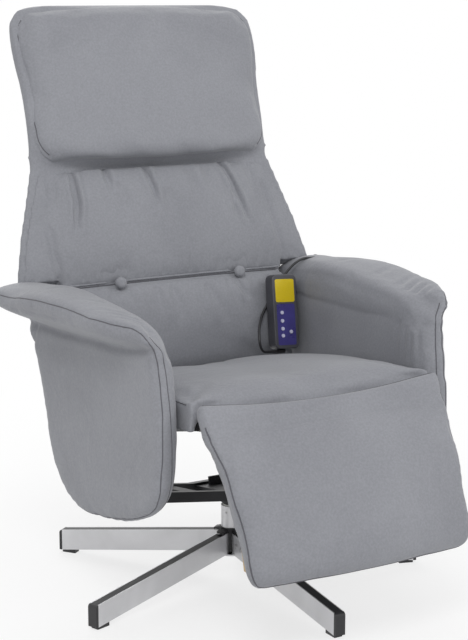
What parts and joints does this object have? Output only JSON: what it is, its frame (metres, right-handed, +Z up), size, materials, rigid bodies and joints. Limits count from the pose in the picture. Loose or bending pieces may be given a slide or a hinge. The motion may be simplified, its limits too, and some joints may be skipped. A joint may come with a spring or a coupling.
{
  "type": "massage recliner armchair",
  "caption": "Upholstered swivel recliner with tufted high back, head pillow, flared arms, fold-out legrest, star base and a corded massage handset",
  "frame": {"origin": "on the floor under the swivel axis, at the middle of the bounding box", "axes": "+Z up, the chair faces -Y, +X is to the right of someone looking at its front"},
  "size_m": [0.7642, 0.9201, 1.075],
  "materials": {
    "grey_upholstery": "matte woven polyester, soft light sheen",
    "dust_cloth": "thin black nonwoven",
    "plywood": "raw plywood",
    "silver_paint": "satin silver paint",
    "black_gloss_strip": "glossy black",
    "black_plastic": "black moulded",
    "black_steel": "black powder coat",
    "zinc_steel": "zinc plated",
    "bearing_nylon": "nylon",
    "motor_case": "white motor cases",
    "handset_black": "fine matte black",
    "handset_yellow": "yellow window",
    "handset_indigo": "indigo key panel",
    "key_lilac": "silvery lilac keys",
    "circuit_board": "green board",
    "cord_black": "black cable jacket"
  },
  "bodies": {
    "base": {"star_base_hub": "black_plastic", "base_leg_1": "silver_paint", "base_leg_2": "silver_paint", "base_leg_3": "silver_paint", "base_leg_4": "silver_paint", "base_leg_5": "silver_paint", "leg_inlay_strips": "black_gloss_strip", "leg_end_caps": "black_plastic", "foot_pads": "black_plastic", "leg_side_screws": "zinc_steel", "hub_washer": "silver_paint", "column_tube": "silver_paint", "column_set_screw": "zinc_steel", "swivel_bearing": "bearing_nylon"},
    "seat": {"swivel_collar": "black_steel", "swivel_plate": "black_steel", "front_cross_bar": "black_steel", "rear_cross_bar": "black_steel", "left_arm_board": "plywood", "left_arm_pad": "grey_upholstery", "left_arm_top_pad": "grey_upholstery", "right_arm_board": "plywood", "right_arm_pad": "grey_upholstery", "right_arm_top_pad": "grey_upholstery", "arm_bolts": "zinc_steel", "seat_frame": "plywood", "seat_springs": "zinc_steel", "seat_cushion": "grey_upholstery", "seat_dust_cover": "dust_cloth", "seat_motors": "motor_case", "side_plates": "black_steel", "control_box": "black_plastic", "power_inlet": "black_plastic", "handset_front_case": "handset_black", "handset_back_case": "handset_black", "handset_window": "handset_yellow", "handset_keypad": "handset_indigo", "handset_board": "circuit_board", "handset_strain_relief": "black_plastic", "handset_cord": "cord_black", "cord_gland": "black_plastic", "hinge_pins": "zinc_steel"},
    "backrest": {"back_frame": "plywood", "back_springs": "zinc_steel", "back_shell": "grey_upholstery", "lumbar_cushion": "grey_upholstery", "upper_back_cushion": "grey_upholstery", "headrest_pillow": "grey_upholstery", "tuft_buttons": "grey_upholstery", "back_motors": "motor_case", "back_brackets": "black_steel"},
    "legrest": {"legrest_cushion": "grey_upholstery", "legrest_board": "plywood", "legrest_brackets": "black_steel"},
    "push_link": {"push_link": "black_steel"},
    "key_1": {"handset_key_1": "key_lilac"},
    "key_2": {"handset_key_2": "key_lilac"},
    "key_3": {"handset_key_3": "key_lilac"},
    "key_4": {"handset_key_4": "key_lilac"},
    "key_5": {"handset_key_5": "key_lilac"}
  },
  "joints": [
    {"name": "swivel", "type": "hinge", "parent": "base", "child": "seat", "pos_m": [0, 0, 0.145], "axis": [0, 0, 1], "continuous": true},
    {"name": "recline", "type": "hinge", "parent": "seat", "child": "backrest", "pos_m": [0, 0.215, 0.335], "axis": [-1, 0, 0], "range_deg": [0, 35]},
    {"name": "legrest_lift", "type": "hinge", "parent": "seat", "child": "legrest", "pos_m": [0, -0.305, 0.41], "axis": [-1, 0, 0], "range_deg": [0, 63]},
    {"name": "link_pivot", "type": "hinge", "parent": "backrest", "child": "push_link", "pos_m": [0.005, 0.24627, 0.23581], "axis": [-1, 0, 0], "range_deg": [-35, 0]},
    {"name": "key_press_1", "type": "slide", "parent": "seat", "child": "key_1", "axis": [0, 0.9763, -0.2164], "range_m": [0, 0.0008], "stiffness_N_per_m": 300, "springref_m": -0.0003},
    {"name": "key_press_2", "type": "slide", "parent": "seat", "child": "key_2", "axis": [0, 0.9763, -0.2164], "range_m": [0, 0.0008], "stiffness_N_per_m": 300, "springref_m": -0.0003},
    {"name": "key_press_3", "type": "slide", "parent": "seat", "child": "key_3", "axis": [0, 0.9763, -0.2164], "range_m": [0, 0.0008], "stiffness_N_per_m": 300, "springref_m": -0.0003},
    {"name": "key_press_4", "type": "slide", "parent": "seat", "child": "key_4", "axis": [0, 0.9763, -0.2164], "range_m": [0, 0.0008], "stiffness_N_per_m": 300, "springref_m": -0.0003},
    {"name": "key_press_5", "type": "slide", "parent": "seat", "child": "key_5", "axis": [0, 0.9763, -0.2164], "range_m": [0, 0.0008], "stiffness_N_per_m": 300, "springref_m": -0.0003}
  ],
  "couplings": [
    {"joint": "legrest_lift", "follows": "recline", "ratio": 1.8},
    {"joint": "link_pivot", "follows": "recline", "ratio": -1}
  ]
}
